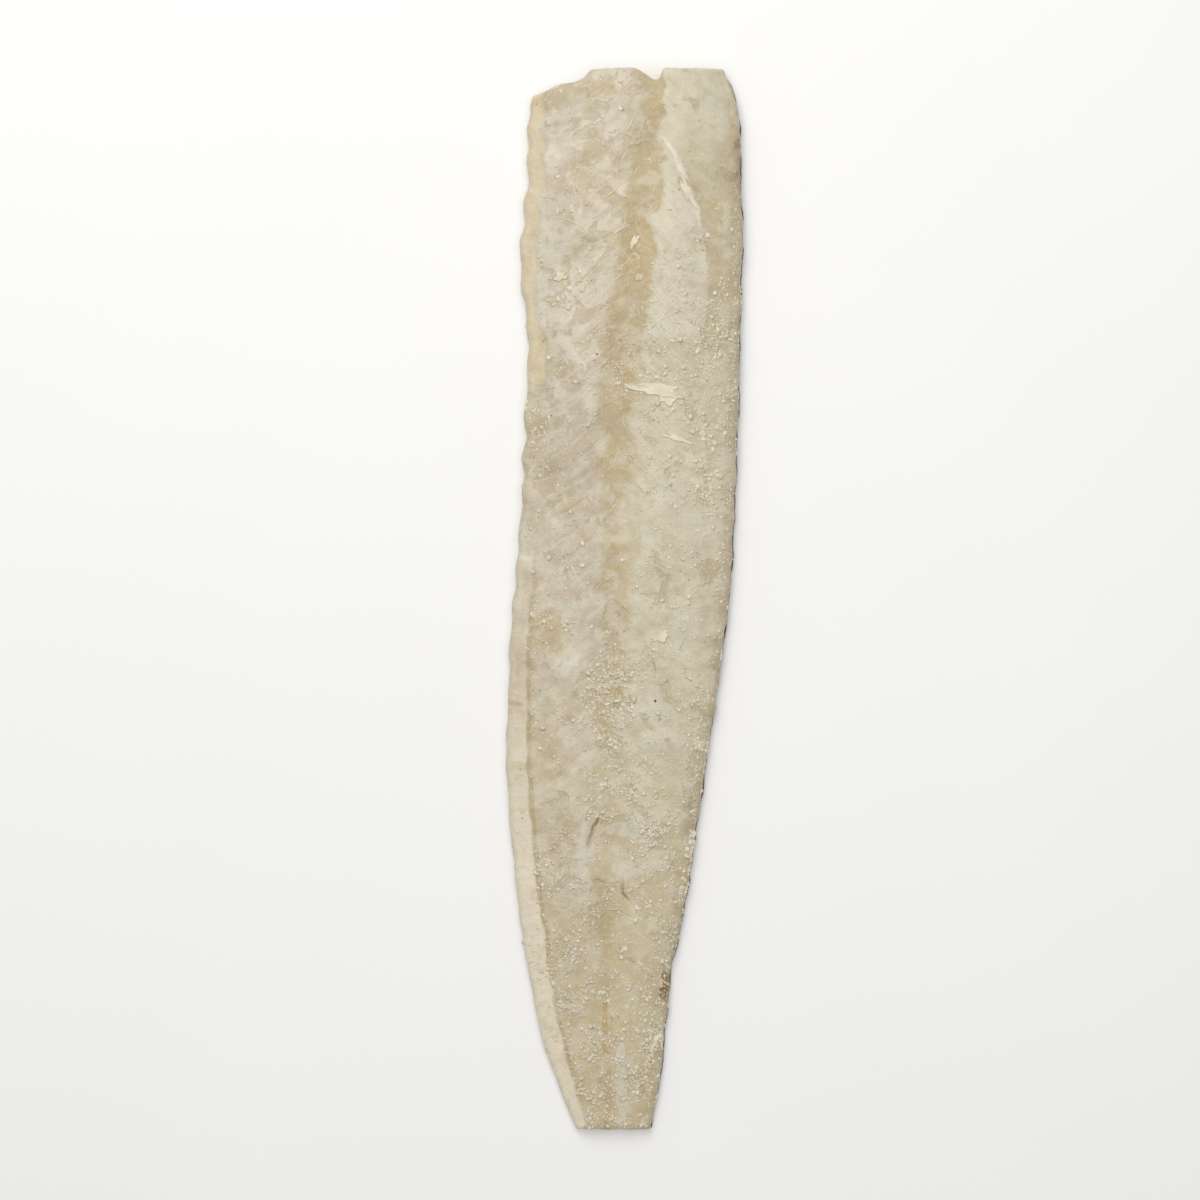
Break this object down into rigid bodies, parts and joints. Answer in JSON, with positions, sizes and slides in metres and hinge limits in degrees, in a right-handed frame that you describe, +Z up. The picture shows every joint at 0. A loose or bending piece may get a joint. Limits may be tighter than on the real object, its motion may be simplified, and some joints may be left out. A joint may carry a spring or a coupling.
{
  "type": "salt cod",
  "caption": "Long salt-cured cod fillet, broad at the knife-cut shoulder and tapering to the tail, with crowned flesh either side of a shallow seam; lies flat, skin side down.",
  "frame": {"origin": "on the surface the fillet lies on, under the middle of its bounding box", "axes": "+Y from the tail cut to the shoulder cut, +X to the fillet's right seen from above, +Z up, out of the flesh side"},
  "size_m": [0.0998, 0.45, 0.0204],
  "materials": {
    "cured_flesh": "matte",
    "cod_skin": "satin",
    "curing_salt": "matte"
  },
  "bodies": {
    "root": {"cod_fillet": "cured_flesh"}
  },
  "joints": []
}
